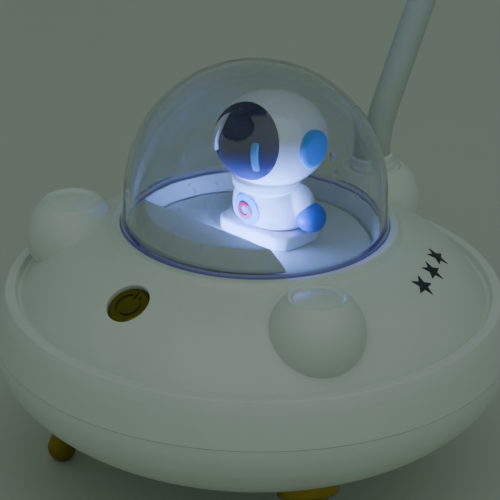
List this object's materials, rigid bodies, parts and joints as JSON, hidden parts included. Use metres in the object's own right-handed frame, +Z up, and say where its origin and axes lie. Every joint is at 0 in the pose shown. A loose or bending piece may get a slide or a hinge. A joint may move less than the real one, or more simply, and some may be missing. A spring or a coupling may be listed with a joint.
{
  "type": "desk lamp",
  "caption": "Saucer-shaped rechargeable desk lamp: a clear dome over a small standing figure, three pods, a push button, splayed legs and a bendable neck with a round lamp head.",
  "frame": {"origin": "on the table under the middle of the whole lamp, which is the saucer's axis", "axes": "+Z up along the saucer's axis, -Y to the front where the push button and the lamp head are, +X to the figure's left"},
  "size_m": [0.1362, 0.1649, 0.2484],
  "materials": {
    "white_shell": "satin injection-moulded ABS",
    "white_figure": "gloss painted PVC",
    "clear_dome": "clear polystyrene",
    "gold_plate": "satin gold plating",
    "gold_button": "gold plated ABS",
    "figure_blue": "gloss paint",
    "pale_blue": "gloss paint",
    "red_mark": "gloss paint",
    "dark_visor": "high gloss",
    "white_mark": "gloss paint",
    "cyan_mark": "gloss paint",
    "neck_sleeve": "matte silicone sleeve",
    "light_diffuser": "frosted",
    "steel": "zinc plated",
    "circuit_board": "solder mask",
    "black_plastic": "moulded",
    "cell_wrap": "shrink wrap"
  },
  "bodies": {
    "root": {"upper_shell": "white_shell", "lower_shell": "white_shell", "pod_cap_left": "white_shell", "pod_cap_right": "white_shell", "pod_cap_back": "white_shell", "cockpit_tub": "white_shell", "cockpit_deck": "white_shell", "console": "white_shell", "plinth": "white_shell", "neck_collar": "white_shell", "dome": "clear_dome", "figure_body": "white_figure", "figure_neck_ring": "white_figure", "figure_helmet": "white_figure", "figure_visor": "dark_visor", "visor_stripe": "cyan_mark", "visor_crescent": "white_mark", "ear_pad_left": "figure_blue", "ear_pad_right": "figure_blue", "glove_left": "figure_blue", "glove_right": "figure_blue", "chest_panel": "pale_blue", "chest_ring": "red_mark", "leg_left": "gold_plate", "leg_right": "gold_plate", "leg_back": "gold_plate", "button_switch": "black_plastic", "cell_cradle": "black_plastic", "button_board": "circuit_board", "main_board": "circuit_board", "cockpit_light_board": "circuit_board", "cockpit_light": "light_diffuser", "leg_screw_left": "steel", "leg_screw_right": "steel", "leg_screw_back": "steel", "case_screw_1": "steel", "case_screw_2": "steel", "case_screw_3": "steel", "ballast_plate": "steel", "charging_socket": "steel", "neck_nut": "steel", "battery_cell": "cell_wrap", "neck_root": "neck_sleeve"},
    "power_button": {"power_button": "gold_button", "switch_plunger": "black_plastic"},
    "neck_1": {"neck_link_1": "neck_sleeve"},
    "neck_2": {"neck_link_2": "neck_sleeve"},
    "neck_3": {"neck_link_3": "neck_sleeve"},
    "neck_4": {"neck_link_4": "neck_sleeve"},
    "neck_5": {"neck_link_5": "neck_sleeve"},
    "neck_6": {"neck_link_6": "neck_sleeve", "head_shell": "white_shell", "head_bezel": "gold_button", "head_diffuser": "light_diffuser", "head_board": "circuit_board", "head_light_ring": "light_diffuser"}
  },
  "joints": [
    {"name": "button_press", "type": "slide", "parent": "root", "child": "power_button", "axis": [0, 0.515, -0.8572], "range_m": [0, 0.0008], "stiffness_N_per_m": 600, "springref_m": -0.0008},
    {"name": "neck_lean", "type": "hinge", "parent": "root", "child": "neck_1", "pos_m": [0, 0.05017, 0.0892], "axis": [1, 0, 0], "range_deg": [-30, 30]},
    {"name": "neck_swing", "type": "hinge", "parent": "neck_1", "child": "neck_2", "pos_m": [0, 0.06738, 0.12303], "axis": [0, 0.8829, -0.4695], "range_deg": [-30, 30]},
    {"name": "neck_bend", "type": "hinge", "parent": "neck_2", "child": "neck_3", "pos_m": [0, 0.0785, 0.15902], "axis": [-1, 0, 0], "range_deg": [-30, 30]},
    {"name": "neck_twist_swing", "type": "hinge", "parent": "neck_3", "child": "neck_4", "pos_m": [0, 0.07211, 0.19612], "axis": [0, -0.9184, -0.3957], "range_deg": [-30, 30]},
    {"name": "head_nod", "type": "hinge", "parent": "neck_4", "child": "neck_5", "pos_m": [0, 0.04953, 0.22625], "axis": [1, 0, 0], "range_deg": [-30, 30]},
    {"name": "head_swing", "type": "hinge", "parent": "neck_5", "child": "neck_6", "pos_m": [0, 0.01571, 0.24279], "axis": [0, 0.217, 0.9762], "range_deg": [-30, 30]}
  ]
}
